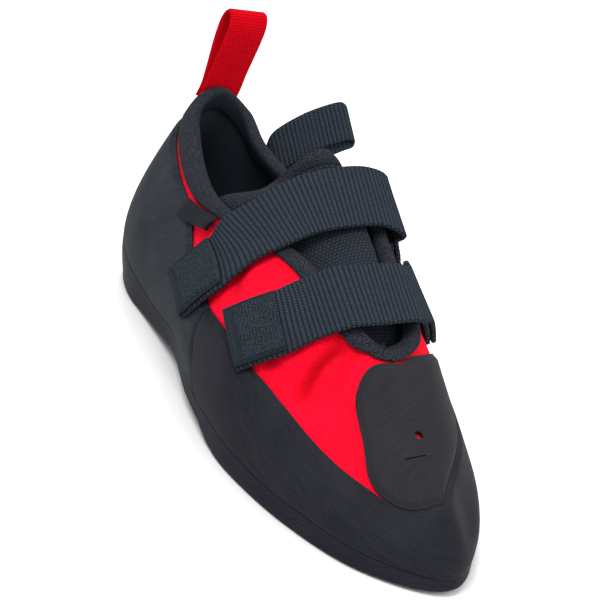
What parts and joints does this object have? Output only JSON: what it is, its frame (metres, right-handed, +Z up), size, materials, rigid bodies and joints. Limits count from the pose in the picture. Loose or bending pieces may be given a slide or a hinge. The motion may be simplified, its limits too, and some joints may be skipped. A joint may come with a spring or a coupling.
{
  "type": "climbing shoe",
  "caption": "Right-foot rock climbing shoe with rubber rand, toe patch, webbing straps and pull loops, standing empty on its sole.",
  "frame": {"origin": "middle of the heel's flat contact spot on the floor", "axes": "+X towards the toe, +Y towards the inner (big toe) side, +Z up"},
  "size_m": [0.2592, 0.1069, 0.12],
  "materials": {
    "red_microfibre": "matte napped microfibre",
    "rand_rubber": "matte, brushed",
    "sole_rubber": "matte",
    "binding_knit": "ribbed knit",
    "insole_board": "matte",
    "tongue_mesh": "air mesh",
    "strap_webbing": "ribbed webbing",
    "tab_cloth": "brushed cloth",
    "red_tape": "woven tape",
    "label_satin": "woven satin"
  },
  "bodies": {
    "root": {"upper": "red_microfibre", "heel_cup": "rand_rubber", "toe_rand": "rand_rubber", "toe_patch": "rand_rubber", "collar_binding": "binding_knit", "heel_outsole": "sole_rubber", "forefoot_outsole": "sole_rubber", "insole": "insole_board", "tongue": "tongue_mesh", "rear_strap": "strap_webbing", "rear_strap_tab": "tab_cloth", "rear_strap_anchor": "strap_webbing", "front_strap": "strap_webbing", "front_strap_tab": "tab_cloth", "front_strap_anchor": "strap_webbing", "heel_pull_loop": "red_tape", "side_pull_loop": "strap_webbing", "side_label": "label_satin"}
  },
  "joints": []
}
